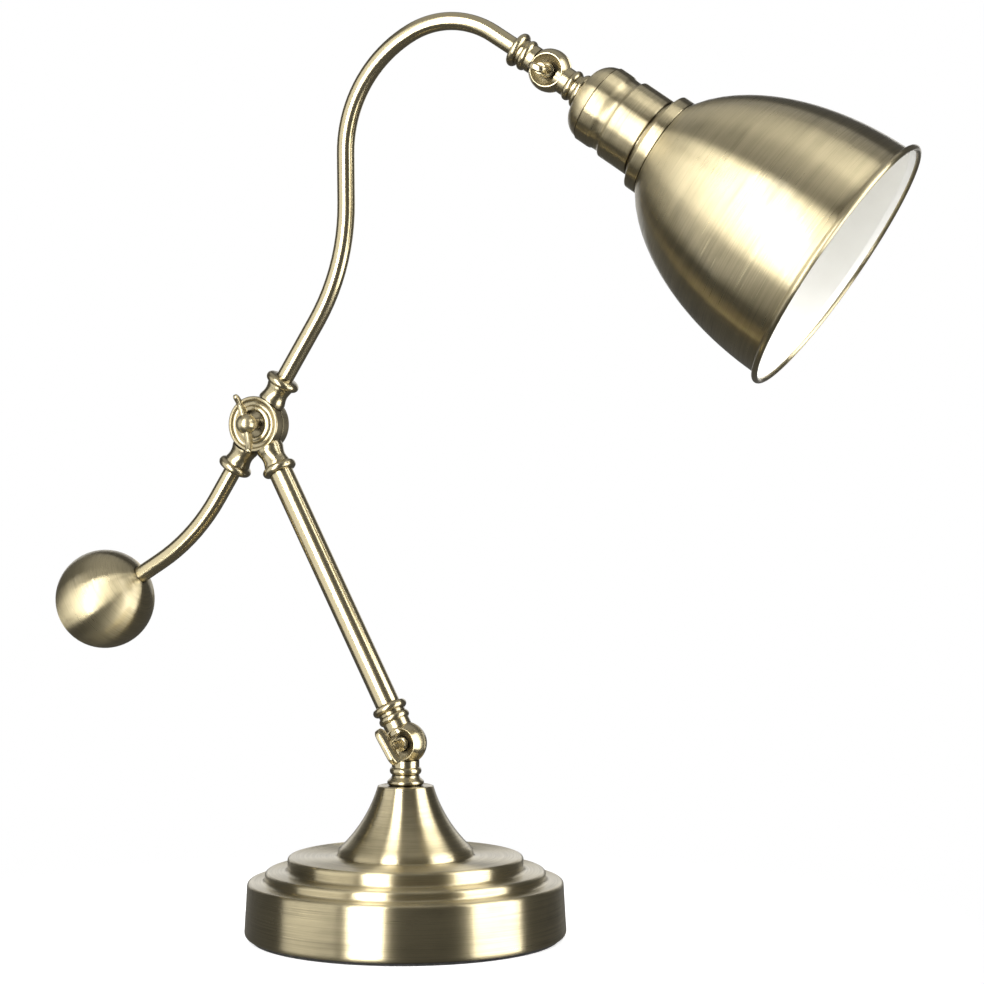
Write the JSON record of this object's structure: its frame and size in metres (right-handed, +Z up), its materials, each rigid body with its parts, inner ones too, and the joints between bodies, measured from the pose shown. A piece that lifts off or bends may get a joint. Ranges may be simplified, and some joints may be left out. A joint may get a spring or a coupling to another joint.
{
  "type": "swing arm desk lamp",
  "caption": "Counterbalanced desk lamp: round stepped base, tilting lower arm, pivoting S-curved arm with a ball weight, and a tilting bell shade.",
  "frame": {"origin": "centre of the underside of the base, on the surface the lamp stands on", "axes": "+Z up; the arms swing in the XZ plane and the shade looks towards +X; the clamp screws are on the -Y side, which is the front; the cord inlet is at +Y"},
  "size_m": [0.5123, 0.1976, 0.5149],
  "materials": {
    "antique_brass": "antique brass, lathe-brushed under clear lacquer",
    "plated_iron": "antique brass plating, polished round the tube's axis",
    "weight_iron": "as cast, dark",
    "steel": "zinc plated",
    "foot_felt": "black felt",
    "plain_brass": "plain machined brass",
    "black_plastic": "moulded, fine grain",
    "lead_grey": "smooth insulation",
    "fibre": "vulcanised fibre",
    "porcelain": "glazed",
    "white_enamel": "satin off-white stove enamel"
  },
  "bodies": {
    "base": {"base_cover": "antique_brass", "base_weight": "weight_iron", "base_plate": "steel", "foot_pad": "foot_felt", "base_rod": "plain_brass", "rod_washer": "steel", "rod_nut": "steel", "cable_bushing": "black_plastic", "neck_collar": "antique_brass", "lower_knuckle_base_half": "antique_brass", "lead_in_base": "lead_grey"},
    "lower_arm": {"lower_knuckle_arm_half": "antique_brass", "lower_knuckle_washer": "fibre", "lower_tube": "antique_brass", "hub_front_plate": "antique_brass", "lead_in_lower_arm": "lead_grey"},
    "lower_clamp": {"lower_clamp_screw": "antique_brass"},
    "lever": {"hub_back_plate": "antique_brass", "hub_washer": "fibre", "upper_tube": "antique_brass", "counterweight_tube": "antique_brass", "counterweight_ball": "plated_iron", "head_knuckle_arm_half": "antique_brass", "head_knuckle_washer": "fibre", "lead_in_upper_arm": "lead_grey"},
    "hub_clamp": {"hub_clamp_screw": "antique_brass"},
    "head": {"head_knuckle_shade_half": "antique_brass", "head_nipple": "plain_brass", "nipple_nut": "steel", "lampholder_cup": "antique_brass", "lampholder_sleeve": "antique_brass", "lampholder_body": "porcelain", "lamp_thread_shell": "plain_brass", "lamp_contact": "plain_brass", "lead_in_head": "lead_grey", "shade_gallery": "antique_brass", "shade": "antique_brass", "shade_lining": "white_enamel", "shade_ring": "porcelain"},
    "head_clamp": {"head_clamp_screw": "antique_brass"}
  },
  "joints": [
    {"name": "lower_tilt", "type": "hinge", "parent": "base", "child": "lower_arm", "pos_m": [0, 0, 0.109], "axis": [0, 1, 0], "range_deg": [-30, 35]},
    {"name": "lower_clamp_turn", "type": "hinge", "parent": "base", "child": "lower_clamp", "pos_m": [0, -0.01, 0.109], "axis": [0, -1, 0], "range_deg": [0, 360]},
    {"name": "arm_tilt", "type": "hinge", "parent": "lower_arm", "child": "lever", "pos_m": [-0.0939, 0, 0.28785], "axis": [0, 1, 0], "range_deg": [-2, 40]},
    {"name": "hub_clamp_turn", "type": "hinge", "parent": "lever", "child": "hub_clamp", "pos_m": [-0.0939, -0.01, 0.28785], "axis": [0, -1, 0], "range_deg": [0, 360]},
    {"name": "head_tilt", "type": "hinge", "parent": "lever", "child": "head", "pos_m": [0.08511, 0.00633, 0.48033], "axis": [-0.1141, 0.9907, 0.0735], "range_deg": [-70, 60]},
    {"name": "head_clamp_turn", "type": "hinge", "parent": "lever", "child": "head_clamp", "pos_m": [0.08625, -0.00358, 0.4796], "axis": [0.1141, -0.9907, -0.0735], "range_deg": [0, 360]}
  ]
}
